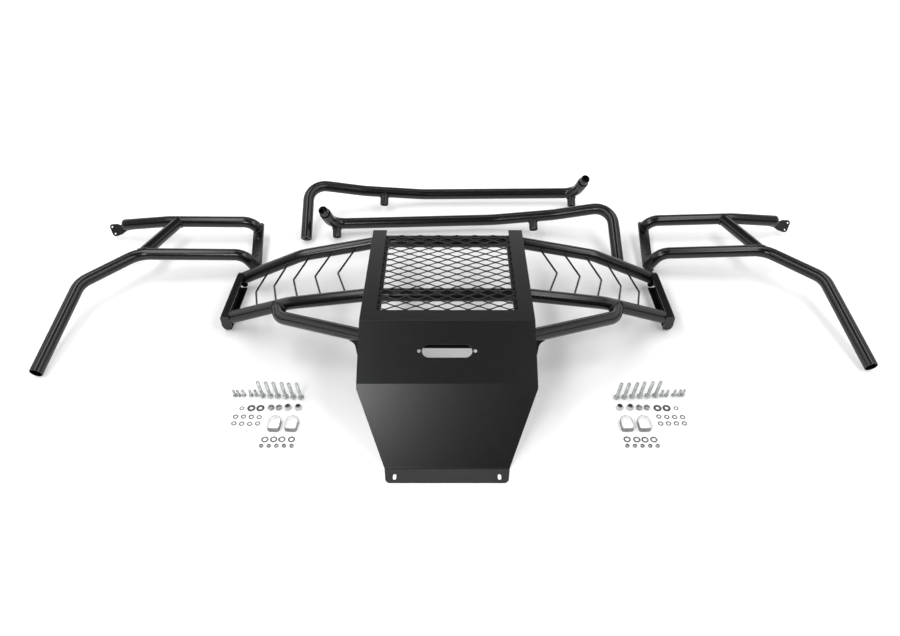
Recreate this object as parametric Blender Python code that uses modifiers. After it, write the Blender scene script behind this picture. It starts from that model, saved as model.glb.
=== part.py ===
"""Front guard kit for an all-terrain vehicle, laid out on the floor.

The kit is seven separate pieces: the front guard with its grille, two fender wings, two side rails and two
sets of loose fasteners. Each lies under its own empty. The origin is on the floor, in the middle of the
kit's outline. +X is to the right, +Y goes from the guard to the rails, and +Z is up.
"""

import math

import bmesh
import bpy
from mathutils import Matrix, Vector

# Stock, metres
TUBE_RADIUS = 0.016
TUBE_WALL = 0.002
SPIGOT_RADIUS = 0.0128
STUB_RADIUS = 0.0125
ROD_RADIUS = 0.0025
SHEET = 0.003
PLATE = 0.005
GAP = 0.0003  # left between pieces that touch
TUBE_ROUND = 3  # bevel resolution, ten sides
ROD_ROUND = 2  # eight sides
ROOM_ROUND = 8  # twenty sides
BEND_STEP = math.radians(30)  # turn between two rings of a bend

# Where each piece lies: x, y and its turn about the vertical
GUARD_AT = (-0.019, -0.2335, 0.0)
WING_LEFT_AT = (-0.5675, 0.270, 0.0)
WING_RIGHT_AT = (0.55124, 0.276, math.radians(1.9))
RAIL_FAR_AT = (-0.4325, 0.31335, 0.0)
RAIL_NEAR_AT = (0.4595, 0.196, math.radians(3.2))
HARDWARE_LEFT_AT = (-0.3615, -0.361, 0.0)
HARDWARE_RIGHT_AT = (0.3775, -0.361, 0.0)

# Front panel: height of its outer face at each fold, going from the grille's top edge to the bottom lip
PANEL_HALF = 0.197
PANEL_TOP = Vector((0.0, 0.398, 0.152))
PANEL_FOLD = Vector((0.0, 0.0, 0.193))
PANEL_KNEE = Vector((0.0, -0.132, 0.128))
PANEL_FOOT = Vector((0.0, -0.263, SHEET))
PANEL_LIP = Vector((0.0, -0.299, SHEET))
FOOT_HALF = 0.1345
LIP_HALF = 0.130
SHOULDER = 0.06  # part of the lower section that keeps the full width
WINDOW_HALF = 0.161
CROSSBAR = 0.039

# Fairlead opening in the middle section, for a standard rope guide
FAIRLEAD_PITCH = 0.124
FAIRLEAD_HOLE = 0.0042
FAIRLEAD_SLOT = (0.111, 0.031)
LIP_SLOT = (0.016, 0.0078)
LIP_SLOT_AT = (0.1116, -0.284)

# Expanded metal grille
MESH_THICK = 0.002
MESH_HALF = 0.176
MESH_NEAR = 0.018
MESH_FAR = 0.384
MESH_COLUMNS = 7
MESH_ROWS = 13
DIAMOND = (0.048, 0.0267)
STRAND = 0.0030

# Guard frame: half of each bowed tube, from the middle outwards
UPPER_TUBE = [(0.170, 0.374, 0.1325), (0.388, 0.358, 0.098), (0.600, 0.3387, 0.013)]
MIDDLE_TUBE = [(0.190, 0.1276, 0.158), (0.385, 0.147, 0.115), (0.600, 0.194, 0.011)]
LOWER_TUBE = [(0.404, 0.103, 0.108), (0.184, -0.019, 0.162)]
LOWER_START = 0.418  # where a lower tube leaves the middle one
BOW_RADIUS = 0.12
LOWER_RADIUS = 0.045
WEB_AT = (0.5705, 0.257)  # middle of the end plate's outer face
WEB_TOE = math.radians(3)
CHANNEL = (0.020, 0.050)
CHANNEL_LENGTH = 0.164
MOUNT_HOLE = 0.0045
MOUNT_PITCH = 0.074

# Chevron rods: top ends, then how far their knees stand outwards
CHEVRONS = 5
CHEVRON_FIRST = 0.239
CHEVRON_PITCH = 0.064
CHEVRON_CLOSING = 0.0013
KNEE_FIRST = 0.038
KNEE_CLOSING = 0.0035

# Wing, x outwards from the middle of its mounting plate
WING_TUBE_HEIGHT = 0.060
WING_FAR_TUBE = [(0.019, 0.061), (0.260, 0.064)]
WING_FAR_END = (0.388, 0.062, 0.050)
WING_NEAR_CORNER = (0.0125, -0.0935)
WING_KNEE = (0.292, -0.109, 0.075)
WING_ELBOW = (0.404, -0.240, 0.080)
WING_LEG_END = (0.436, -0.500, 0.0175)
WING_BRACE = (0.230, 0.284)  # where it meets the far and the near tube
WING_PLATE_AT = Vector((-0.005, -0.014, 0.0243))
WING_PLATE = (0.190, 0.036)
WING_PLATE_YAW = math.radians(6.6)
WING_PLATE_RISE = math.radians(7.3)
WING_LANDING = 0.078  # along the plate, from its middle to each tube
WING_TILT = math.radians(60)  # how steeply the tubes come down on the plate
WING_BEND = 0.045
KNEE_BEND = 0.070
TAB_TILT = math.radians(42)
TAB_THICK = 0.004
TAB_DROP = 0.010

# Rail, x along it from its foot
RAIL_FOOT = (0.0, 0.0, 0.0135)
RAIL_CORNER = (0.0, 0.152, 0.103)
RAIL_SLOPE = (0.160, 0.178, 0.062)
RAIL_LOW = (0.335, 0.199, 0.036)
RAIL_HOOK = (0.807, 0.204, 0.037)
RAIL_END = (0.8195, 0.162, 0.1035)
RAIL_RADII = (0.055, 0.30, 0.25, 0.045)
RAIL_STUBS = (0.219, 0.795)
STUB_LENGTH = 0.041
STUB_FALL = math.radians(39)
SPIGOT = (0.024, 0.022)  # held in the rail, and beyond its end
PLUG = 0.012

# Fasteners, x outwards from the inner end of the set
BOLT_SHANK = 0.004
BOLT_HEAD = (0.0075, 0.0053)
BOLT_LENGTH = 0.045
BOLTS = 6
BOLT_PITCH = 0.0182
BOLT_ROW = 0.073
BOLT_FALL = 0.0011  # how much nearer each bolt is than the next one out
SPACER = (0.0088, 0.0058, 0.0042, 0.010)  # base, top, bore and height
SPACERS_AT = (0.002, 0.026)
SPACER_ROW = 0.036
BAND = (0.0275, 0.0385, 0.002, 0.012)  # width, depth, wall and height
BANDS_AT = (0.009, 0.048)
BAND_ROW = -0.014

BLACK_COAT = ("black_powder_coat", (0.018, 0.019, 0.020), 0.42, 0.0)
BLACK_MESH = ("black_mesh", (0.022, 0.022, 0.023), 0.5, 0.0)
ZINC = ("zinc_plate", (0.62, 0.63, 0.64), 0.32, 1.0)
GREY_SPACER = ("grey_spacer", (0.36, 0.37, 0.37), 0.5, 0.2)


def clear_scene():
    for obj in list(bpy.data.objects):
        bpy.data.objects.remove(obj, do_unlink=True)


def new_collection(name):
    collection = bpy.data.collections.new(name)
    bpy.context.scene.collection.children.link(collection)
    return collection


def material(look):
    name, colour, roughness, metallic = look
    made = bpy.data.materials.get(name)
    if made is None:
        made = bpy.data.materials.new(name)
        made.use_nodes = True
        made.diffuse_color = (*colour, 1.0)
        shader = made.node_tree.nodes["Principled BSDF"]
        shader.inputs["Base Color"].default_value = (*colour, 1.0)
        shader.inputs["Roughness"].default_value = roughness
        shader.inputs["Metallic"].default_value = metallic
    return made


def piece_empty(name, place):
    x, y, turn = place
    empty = bpy.data.objects.new(name, None)
    empty.location = (x, y, 0.0)
    empty.rotation_euler = (0.0, 0.0, turn)
    parts.objects.link(empty)
    return empty


def flipped(point, side):
    return Vector((side * point[0], point[1], point[2]))


def rounded(points, radius, closed=False):
    """The points with an arc of the radius in place of each corner; a 2D outline is closed."""
    points = [Vector(p) for p in points]
    count = len(points)
    radii = list(radius) if isinstance(radius, (tuple, list)) else [radius] * count
    if not closed and len(radii) == count - 2:
        radii = [0.0] + radii + [0.0]
    path = []
    for i, corner in enumerate(points):
        at_end = not closed and i in (0, count - 1)
        before = (points[i - 1] - corner).normalized()
        after = (points[(i + 1) % count] - corner).normalized()
        turn = math.pi - before.angle(after)
        if at_end or radii[i] == 0.0 or turn < 0.01:
            path.append(corner)
            continue
        reach = radii[i] * math.tan(turn / 2)
        middle = (before + after).normalized()
        centre = corner + middle * radii[i] / math.cos(turn / 2)
        start = corner + before * reach - centre
        end = corner + after * reach - centre
        steps = max(2, round(turn / BEND_STEP))
        for k in range(steps + 1):
            a = turn * k / steps
            arm = (start * math.sin(turn - a) + end * math.sin(a)) / math.sin(turn)
            path.append(centre + arm)
    return path


def circle(x, y, radius, steps=12):
    return [
        (x + radius * math.cos(math.tau * k / steps), y + radius * math.sin(math.tau * k / steps))
        for k in range(steps)
    ]


def stadium(x, y, length, width, steps=6):
    """An outline with round ends, its length along the first axis."""
    radius = width / 2
    reach = length / 2 - radius
    points = []
    for end in (1, -1):
        for k in range(steps + 1):
            a = math.pi * (k / steps - 0.5)
            points.append((x + end * (reach + radius * math.cos(a)), y + end * radius * math.sin(a)))
    return points


def as_mesh(obj, collection):
    """A mesh object in place of a curve one, with its caps welded on."""
    bpy.context.scene.collection.objects.link(obj)
    graph = bpy.context.evaluated_depsgraph_get()
    mesh = bpy.data.meshes.new_from_object(obj.evaluated_get(graph))
    shape = bmesh.new()
    shape.from_mesh(mesh)
    bmesh.ops.remove_doubles(shape, verts=shape.verts, dist=1e-6)
    bmesh.ops.recalc_face_normals(shape, faces=shape.faces)
    shape.to_mesh(mesh)
    shape.free()
    name = obj.name
    matrix = obj.matrix_world.copy()
    bpy.data.objects.remove(obj, do_unlink=True)
    mesh.name = name
    new = bpy.data.objects.new(name, mesh)
    new.matrix_world = matrix
    collection.objects.link(new)
    return new


def into(obj, empty, look=None):
    """Puts a piece under its empty and gives it its material."""
    obj.parent = empty
    if look:
        obj.data.materials.clear()
        obj.data.materials.append(material(look))
        if obj.name not in parts.objects:
            parts.objects.link(obj)
    else:
        obj.hide_render = True
        obj.display_type = "WIRE"
    return obj


def swept(name, path, radius, collection, wall=None, resolution=TUBE_ROUND):
    """A round bar along the path, or a tube with open ends where a wall is given."""
    curve = bpy.data.curves.new(name, "CURVE")
    curve.dimensions = "3D"
    curve.bevel_depth = radius
    curve.bevel_resolution = resolution
    curve.use_fill_caps = wall is None
    spline = curve.splines.new("POLY")
    spline.points.add(len(path) - 1)
    for point, place in zip(spline.points, path):
        point.co = (*place, 1.0)
    obj = bpy.data.objects.new(name, curve)
    if wall:
        shell = obj.modifiers.new("Wall", "SOLIDIFY")
        shell.thickness = wall
        shell.offset = -1.0
        shell.use_even_offset = True
    return as_mesh(obj, collection)


def tube(name, path, empty, wall=TUBE_WALL, radius=TUBE_RADIUS):
    obj = swept(name, path, radius, parts, wall)
    obj.data.shade_smooth()
    obj.data.set_sharp_from_angle(angle=math.radians(50))
    return into(obj, empty, BLACK_COAT)


def bar_cutter(name, path, empty):
    """The room that a tube takes, a little wider than the tube."""
    return into(swept(name, path, TUBE_RADIUS + 2 * GAP, cutters, resolution=ROOM_ROUND), empty)


def flat(name, loops, thickness, collection, origin, along, across):
    """A flat plate from an outline and its holes, in the plane of the two directions."""
    curve = bpy.data.curves.new(name, "CURVE")
    curve.dimensions = "2D"
    curve.fill_mode = "BOTH"
    curve.extrude = thickness / 2
    for loop in loops:
        spline = curve.splines.new("POLY")
        spline.points.add(len(loop) - 1)
        for point, place in zip(spline.points, loop):
            point.co = (place[0], place[1], 0.0, 1.0)
        spline.use_cyclic_u = True
    obj = as_mesh(bpy.data.objects.new(name, curve), collection)
    along = Vector(along).normalized()
    across = Vector(across).normalized()
    normal = along.cross(across)
    turn = Matrix((along, normal.cross(along), normal)).transposed()
    obj.matrix_basis = Matrix.Translation(origin) @ turn.to_4x4()
    return obj


def plate(name, loops, thickness, empty, origin, along, across, look=BLACK_COAT):
    return into(flat(name, loops, thickness, parts, origin, along, across), empty, look)


def plate_cutter(name, loops, thickness, empty, origin, along, across):
    return into(flat(name, loops, thickness, cutters, origin, along, across), empty)


def box_cutter(name, low, high, empty):
    low = Vector(low)
    high = Vector(high)
    shape = bmesh.new()
    bmesh.ops.create_cube(shape, size=1.0)
    bmesh.ops.scale(shape, vec=high - low, verts=shape.verts)
    mesh = bpy.data.meshes.new(name)
    shape.to_mesh(mesh)
    shape.free()
    obj = bpy.data.objects.new(name, mesh)
    obj.location = (low + high) / 2
    cutters.objects.link(obj)
    return into(obj, empty)


def cut(obj, *tools):
    for tool in tools:
        boolean = obj.modifiers.new("Cut " + tool.name, "BOOLEAN")
        boolean.operation = "DIFFERENCE"
        boolean.object = tool


def axis_at(path, x):
    """The point at a distance x from the middle on a tube's centre line."""
    for a, b in zip(path, path[1:]):
        if min(a[0], b[0]) <= x <= max(a[0], b[0]):
            return a.lerp(b, (x - a[0]) / (b[0] - a[0]))
    return path[-1]


# ---------------------------------------------------------------- front guard


def front_panel(empty):
    """The folded sheet: half of its outer face, mirrored and thickened."""
    shoulder = PANEL_KNEE.lerp(PANEL_FOOT, SHOULDER)
    rows = [
        (PANEL_TOP, PANEL_HALF),
        (PANEL_FOLD, PANEL_HALF),
        (PANEL_KNEE, PANEL_HALF),
        (shoulder, PANEL_HALF),
        (PANEL_FOOT, FOOT_HALF),
        (PANEL_LIP, LIP_HALF),
    ]
    mesh = bpy.data.meshes.new("front_panel")
    shape = bmesh.new()
    edge_rows = []
    for place, half in rows:
        inner = shape.verts.new(place)
        outer = shape.verts.new(place + Vector((half, 0.0, 0.0)))
        edge_rows.append((inner, outer))
    for (a, b), (c, d) in zip(edge_rows, edge_rows[1:]):
        shape.faces.new((a, c, d, b))
    shape.to_mesh(mesh)
    shape.free()
    obj = bpy.data.objects.new("front_panel", mesh)
    parts.objects.link(obj)
    mirror = obj.modifiers.new("Mirror", "MIRROR")
    mirror.merge_threshold = 0.0001
    shell = obj.modifiers.new("Sheet", "SOLIDIFY")
    shell.thickness = SHEET
    shell.offset = -1.0
    shell.use_even_offset = True

    down = PANEL_KNEE - PANEL_FOLD
    middle = PANEL_FOLD.lerp(PANEL_KNEE, 0.49)
    half_pitch = FAIRLEAD_PITCH / 2
    openings = [
        stadium(0.0, 0.0, *FAIRLEAD_SLOT),
        circle(half_pitch, 0.0, FAIRLEAD_HOLE),
        circle(-half_pitch, 0.0, FAIRLEAD_HOLE),
    ]
    for i, loop in enumerate(openings):
        tool = plate_cutter(f"fairlead_cut_{i}", [loop], 0.03, empty, middle, (1, 0, 0), down)
        cut(obj, tool)
    x, y = LIP_SLOT_AT
    for i, side in enumerate((-1, 1)):
        loop = stadium(0.0, 0.0, *LIP_SLOT)
        place = (side * x, y, 0.0)
        cut(obj, plate_cutter(f"lip_cut_{i}", [loop], 0.03, empty, place, (0, 1, 0), (1, 0, 0)))
    window = box_cutter("window_cut", (-WINDOW_HALF, CROSSBAR, 0.1), (WINDOW_HALF, 0.45, 0.25), empty)
    cut(obj, window)
    return into(obj, empty, BLACK_COAT)


def grille_mesh(empty):
    """Expanded metal: rows of diamonds, every other row half a diamond along."""
    away = (PANEL_TOP - PANEL_FOLD).normalized()
    normal = Vector((1, 0, 0)).cross(away)
    depth = SHEET + GAP + MESH_THICK / 2
    width, height = DIAMOND
    half_w = width / 2 - STRAND * 0.9
    half_h = height / 2 - STRAND * 0.55
    first = (MESH_NEAR + MESH_FAR - MESH_ROWS * height) / 2
    edge = MESH_COLUMNS * width / 2 - STRAND / 2
    rim = [(-MESH_HALF, MESH_NEAR), (MESH_HALF, MESH_NEAR), (MESH_HALF, MESH_FAR), (-MESH_HALF, MESH_FAR)]
    loops = [rim]
    for row in range(MESH_ROWS):
        y = first + (row + 0.5) * height
        for column in range(MESH_COLUMNS):
            x = (column - (MESH_COLUMNS - 1) / 2) * width
            loops.append([(x - half_w, y), (x, y - half_h), (x + half_w, y), (x, y + half_h)])
    for row in range(1, MESH_ROWS):
        y = first + row * height
        for column in range(MESH_COLUMNS - 1):
            x = (column - (MESH_COLUMNS - 2) / 2) * width
            loops.append([(x - half_w, y), (x, y - half_h), (x + half_w, y), (x, y + half_h)])
        for side in (-1, 1):
            point = side * (edge - width / 2 + STRAND)
            rise = half_h - STRAND * 0.3
            loops.append([(point, y), (side * edge, y - rise), (side * edge, y + rise)])
    origin = PANEL_FOLD - normal * depth
    return plate("grille_mesh", loops, MESH_THICK, empty, origin, (1, 0, 0), away, BLACK_MESH)


def bowed(half_path):
    """The whole centre line of a tube that is the same on both sides."""
    left = [flipped(p, -1) for p in reversed(half_path)]
    right = [Vector(p) for p in half_path]
    return left + right


def end_frame(side):
    """The middle of an end plate's outer face, and the directions inwards and along it."""
    x, y = WEB_AT
    inwards = Vector((-side * math.cos(WEB_TOE), -math.sin(WEB_TOE), 0.0))
    along = Vector((-side * math.sin(WEB_TOE), math.cos(WEB_TOE), 0.0))
    return Vector((side * x, y, 0.0)), inwards, along


def end_plate(side, name, empty, rooms):
    """The folded bracket between the tube ends, open inwards, with the wing's bolt holes."""
    depth, height = CHANNEL
    t = SHEET
    profile = [(0, 0), (depth, 0), (depth, t), (t, t), (t, height - t), (depth, height - t)]
    profile += [(depth, height), (0, height)]
    origin, inwards, along = end_frame(side)
    obj = plate(name, [profile], CHANNEL_LENGTH, empty, origin, inwards, (0, 0, 1))
    for i, offset in enumerate((-0.5, 0.5)):
        place = origin + along * offset * MOUNT_PITCH + Vector((0.0, 0.0, height / 2))
        loop = circle(0.0, 0.0, MOUNT_HOLE)
        cut(obj, plate_cutter(f"{name}_cut_{i}", [loop], 0.02, empty, place, along, (0, 0, 1)))
    cut(obj, *rooms)
    return obj


def gusset(side, name, empty, tube_room):
    """The small concave web behind the panel's edge, under the lower tube."""
    down = (PANEL_KNEE - PANEL_FOLD).normalized()
    normal = Vector((1, 0, 0)).cross(down)
    origin = PANEL_FOLD + normal * (SHEET + GAP + SHEET / 2)
    curve = [(0.2180, 0.046), (0.2080, 0.052), (0.2015, 0.063), (0.1975, 0.082)]
    loop = [(side * x, y) for x, y in [(0.150, 0.046)] + curve + [(0.150, 0.112)]]
    obj = plate(name, [loop], SHEET, empty, origin, (1, 0, 0), down)
    cut(obj, tube_room)
    return obj


def chevrons(side, word, empty, upper, middle, rooms):
    """Bent rods between the bowed tubes, their knees pointing outwards."""
    for i in range(CHEVRONS):
        x = CHEVRON_FIRST + CHEVRON_PITCH * i - CHEVRON_CLOSING * i * i
        top = axis_at(upper, x)
        foot = axis_at(middle, x + 0.002)
        knee = (axis_at(upper, x + KNEE_FIRST - KNEE_CLOSING * i) * 0.48
                + axis_at(middle, x + KNEE_FIRST - KNEE_CLOSING * i) * 0.52)
        path = rounded([flipped(p, side) for p in (top, knee, foot)], 0.008)
        name = f"chevron_{word}_{i + 1}"
        rod = swept(name, path, ROD_RADIUS, parts, resolution=ROD_ROUND)
        cut(into(rod, empty, BLACK_COAT), *rooms)


def front_guard():
    empty = piece_empty("front_guard", GUARD_AT)
    front_panel(empty)
    grille_mesh(empty)
    upper_path = rounded(bowed(UPPER_TUBE), BOW_RADIUS)
    middle_path = rounded(bowed(MIDDLE_TUBE), BOW_RADIUS)
    upper_tube = tube("upper_tube", upper_path, empty)
    middle_tube = tube("middle_tube", middle_path, empty)
    upper_room = bar_cutter("upper_tube_room", upper_path, empty)
    middle_room = bar_cutter("middle_tube_room", middle_path, empty)
    upper = [Vector(p) for p in UPPER_TUBE]
    middle = [Vector(p) for p in MIDDLE_TUBE]
    for side, word in ((-1, "left"), (1, "right")):
        origin, inwards, along = end_frame(side)
        square = [(-0.3, -0.3), (0.3, -0.3), (0.3, 0.3), (-0.3, 0.3)]
        slab = 0.08
        place = origin - inwards * slab / 2
        beyond = plate_cutter(f"beyond_{word}", [square], slab, empty, place, along, (0, 0, 1))
        cut(upper_tube, beyond)
        cut(middle_tube, beyond)
        end_plate(side, f"end_plate_{word}", empty, (upper_room, middle_room))
        start = axis_at(middle_path, side * LOWER_START)
        path = rounded([start] + [flipped(p, side) for p in LOWER_TUBE], LOWER_RADIUS)
        lower = tube(f"lower_tube_{word}", path, empty)
        cut(lower, middle_room)
        lower_room = bar_cutter(f"lower_tube_{word}_room", path, empty)
        gusset(side, f"gusset_{word}", empty, lower_room)
        chevrons(side, word, empty, upper, middle, (upper_room, middle_room))


# ---------------------------------------------------------------- wings


def wing(side, word, place):
    empty = piece_empty(f"wing_{word}", place)

    along = Vector((side * math.sin(WING_PLATE_YAW), math.cos(WING_PLATE_YAW), math.tan(WING_PLATE_RISE)))
    along.normalize()
    lean = Vector((-side * math.sin(WING_TILT), 0.0, math.cos(WING_TILT)))
    across = (lean - along * lean.dot(along)).normalized()
    normal = along.cross(across)
    if normal.z < 0:
        normal = -normal
    centre = flipped(WING_PLATE_AT, side)
    length, width = WING_PLATE
    outline = rounded(
        [(-length / 2, -width / 2), (length / 2, -width / 2), (length / 2, width / 2), (-length / 2, width / 2)],
        0.010, closed=True)
    holes = [circle(s * MOUNT_PITCH / 2, 0.0, MOUNT_HOLE) for s in (-1, 1)]
    plate(f"wing_{word}_mount_plate", [outline] + holes, PLATE, empty, centre, along, across)
    square = [(-0.2, -0.1), (0.2, -0.1), (0.2, 0.1), (-0.2, 0.1)]
    slab = 0.08
    under = centre - normal * (slab / 2 - PLATE / 2 - GAP)
    below = plate_cutter(f"wing_{word}_below", [square], slab, empty, under, along, across)

    rise = Vector((side * math.cos(WING_TILT), 0.0, math.sin(WING_TILT)))

    def landing(at, corner):
        """The start of a tube, through the plate, so that it comes down on the corner's line."""
        spot = centre + along * at
        corner_point = Vector((side * corner[0], corner[1], WING_TUBE_HEIGHT))
        down = (spot - corner_point).normalized()
        return spot + (down - rise).normalized() * 0.010

    far_corner = (side * WING_FAR_TUBE[0][0], WING_FAR_TUBE[0][1], WING_TUBE_HEIGHT)
    far_bend = (side * WING_FAR_TUBE[1][0], WING_FAR_TUBE[1][1], WING_TUBE_HEIGHT)
    far_points = [landing(WING_LANDING, WING_FAR_TUBE[0]), far_corner, far_bend, flipped(WING_FAR_END, side)]
    far_path = rounded(far_points, (WING_BEND, 0.25))
    far_tube = tube(f"wing_{word}_upper_tube", far_path, empty)
    cut(far_tube, below)
    far_room = bar_cutter(f"wing_{word}_upper_room", far_path, empty)

    near_corner = (side * WING_NEAR_CORNER[0], WING_NEAR_CORNER[1], WING_TUBE_HEIGHT)
    near_points = [landing(-WING_LANDING, WING_NEAR_CORNER), near_corner]
    near_points += [flipped(p, side) for p in (WING_KNEE, WING_ELBOW, WING_LEG_END)]
    near_path = rounded(near_points, (WING_BEND, KNEE_BEND, KNEE_BEND))
    near_tube = tube(f"wing_{word}_leg_tube", near_path, empty)
    cut(near_tube, below)
    near_room = bar_cutter(f"wing_{word}_leg_room", near_path, empty)

    far_x, near_x = WING_BRACE
    brace_path = [axis_at(far_path, side * far_x), axis_at(near_path, side * near_x)]
    brace = tube(f"wing_{word}_brace", brace_path, empty)
    cut(brace, far_room, near_room)
    wing_tab(side, word, empty)


def wing_tab(side, word, empty):
    """The rounded three-cornered bracket under the wing's tip, with two bolt holes."""
    corners = [(-0.018, -0.017), (0.012, -0.016), (0.058, -0.015), (0.040, 0.023), (0.008, 0.008), (-0.018, -0.003)]
    outline = rounded(corners, (0.003, 0.010, 0.008, 0.009, 0.012, 0.003), closed=True)
    holes = [circle(0.047, -0.007, 0.0034), circle(0.0365, 0.013, 0.0034)]
    down = Vector((0.0, -math.cos(TAB_TILT), -math.sin(TAB_TILT)))
    normal = Vector((0.0, -math.sin(TAB_TILT), math.cos(TAB_TILT)))
    start = flipped(WING_FAR_END, side) - normal * (TUBE_RADIUS + GAP + TAB_THICK / 2) + down * TAB_DROP
    plate(f"wing_{word}_tab", [outline] + holes, TAB_THICK, empty, start, (side, 0, 0), down)


# ---------------------------------------------------------------- side rails


def ring_tube(name, start, direction, length, empty, radius, wall):
    """A short straight tube from a start point."""
    end = start + direction.normalized() * length
    return tube(name, [start, end], empty, wall, radius)


def rail(side, word, place):
    """One side rail: x runs from its foot towards its hook."""
    empty = piece_empty(f"rail_{word}", place)
    corners = (RAIL_FOOT, RAIL_CORNER, RAIL_SLOPE, RAIL_LOW, RAIL_HOOK, RAIL_END)
    points = [flipped(p, side) for p in corners]
    path = rounded(points, RAIL_RADII)
    tube(f"rail_{word}_tube", path, empty)
    room = bar_cutter(f"rail_{word}_room", path, empty)

    fall = Vector((0.0, -math.cos(STUB_FALL), -math.sin(STUB_FALL)))
    for i, x in enumerate(RAIL_STUBS):
        start = axis_at([Vector(p) for p in corners[1:]], x)
        start = flipped(start, side)
        stub = ring_tube(f"rail_{word}_stub_{i + 1}", start, fall, STUB_LENGTH, empty, STUB_RADIUS, 0.003)
        cut(stub, room)

    hook = (points[-1] - points[-2]).normalized()
    held, free = SPIGOT
    start = points[-1] - hook * held
    ring_tube(f"rail_{word}_spigot", start, hook, held + free, empty, SPIGOT_RADIUS, 0.002)

    leg = (points[0] - points[1]).normalized()
    start = points[0] - leg * PLUG
    ring_tube(f"rail_{word}_foot_insert", start, leg, PLUG, empty, SPIGOT_RADIUS, 0.0075)


# ---------------------------------------------------------------- fasteners


def bolt_mesh():
    """A hexagon bolt standing on its head."""
    radius, height = BOLT_HEAD
    shape = bmesh.new()
    bmesh.ops.create_cone(shape, cap_ends=True, segments=6, radius1=radius, radius2=radius, depth=height)
    bmesh.ops.translate(shape, vec=(0.0, 0.0, height / 2), verts=shape.verts)
    head_mesh = bpy.data.meshes.new("bolt_head")
    shape.to_mesh(head_mesh)
    shape.free()
    shape = bmesh.new()
    length = BOLT_LENGTH + height / 2
    bmesh.ops.create_cone(
        shape, cap_ends=True, segments=12, radius1=BOLT_SHANK, radius2=BOLT_SHANK, depth=length)
    bmesh.ops.translate(shape, vec=(0.0, 0.0, height / 2 + length / 2), verts=shape.verts)
    shank_mesh = bpy.data.meshes.new("bolt_shank")
    shape.to_mesh(shank_mesh)
    shape.free()
    head = bpy.data.objects.new("bolt", head_mesh)
    shank = bpy.data.objects.new("shank", shank_mesh)
    bpy.context.scene.collection.objects.link(head)
    bpy.context.scene.collection.objects.link(shank)
    union = head.modifiers.new("Union", "BOOLEAN")
    union.operation = "UNION"
    union.object = shank
    graph = bpy.context.evaluated_depsgraph_get()
    mesh = bpy.data.meshes.new_from_object(head.evaluated_get(graph))
    bpy.data.objects.remove(head, do_unlink=True)
    bpy.data.objects.remove(shank, do_unlink=True)
    mesh.name = "bolt"
    mesh.materials.clear()
    mesh.materials.append(material(ZINC))
    return mesh


def spacer(name, place, empty):
    """A cone spacer: its section turned about its own axis."""
    base, top, bore, height = SPACER
    mesh = bpy.data.meshes.new(name)
    shape = bmesh.new()
    section = [(bore, height), (top, height), (base, 0.0), (bore, 0.0)]
    verts = [shape.verts.new((x, 0.0, z)) for x, z in section]
    for a, b in zip(verts, verts[1:] + verts[:1]):
        shape.edges.new((a, b))
    shape.to_mesh(mesh)
    shape.free()
    obj = bpy.data.objects.new(name, mesh)
    obj.location = place
    parts.objects.link(obj)
    turn = obj.modifiers.new("Turn", "SCREW")
    turn.steps = 16
    turn.render_steps = 16
    turn.use_merge_vertices = True
    turn.merge_threshold = 0.00005
    return into(obj, empty, GREY_SPACER)


def band(name, place, side, empty):
    """A tube band: straight sides, a round top and a flat bolting side."""
    width, depth, wall, height = BAND

    def outline(inset):
        radius = width / 2 - inset
        centre = depth / 2 - width / 2
        arc = [(radius * math.cos(a), centre + radius * math.sin(a))
               for a in (math.pi * k / 10 for k in range(11))]
        foot = -depth / 2 + inset
        return [(radius, foot)] + arc + [(-radius, foot)]

    loops = [outline(0.0), outline(wall)]
    along = (math.cos(side * 0.06), math.sin(side * 0.06), 0.0)
    across = (-math.sin(side * 0.06), math.cos(side * 0.06), 0.0)
    origin = place + Vector((0.0, 0.0, height / 2))
    return plate(name, loops, height, empty, origin, along, across, ZINC)


def hardware(side, word, place, mesh):
    empty = piece_empty(f"hardware_{word}", place)
    for i in range(BOLTS):
        obj = bpy.data.objects.new(f"bolt_{word}_{i + 1}", mesh)
        obj.location = (side * BOLT_PITCH * i, BOLT_ROW - BOLT_FALL * (BOLTS - 1 - i), 0.0)
        obj.parent = empty
        parts.objects.link(obj)
    for i, x in enumerate(SPACERS_AT):
        spacer(f"spacer_{word}_{i + 1}", Vector((side * x, SPACER_ROW, 0.0)), empty)
    for i, x in enumerate(BANDS_AT):
        band(f"band_{word}_{i + 1}", Vector((side * x, BAND_ROW, 0.0)), side, empty)


clear_scene()
parts = new_collection("front_guard_kit")
cutters = new_collection("cutters")
front_guard()
wing(-1, "left", WING_LEFT_AT)
wing(1, "right", WING_RIGHT_AT)
rail(1, "far", RAIL_FAR_AT)
rail(-1, "near", RAIL_NEAR_AT)
bolt = bolt_mesh()
hardware(-1, "left", HARDWARE_LEFT_AT, bolt)
hardware(1, "right", HARDWARE_RIGHT_AT, bolt)
bpy.context.view_layer.update()
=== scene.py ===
"""Looks of a quad bike's front guard kit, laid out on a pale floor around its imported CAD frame."""

import math
import random

import bmesh
import bpy
from mathutils import Matrix, Vector


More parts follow.
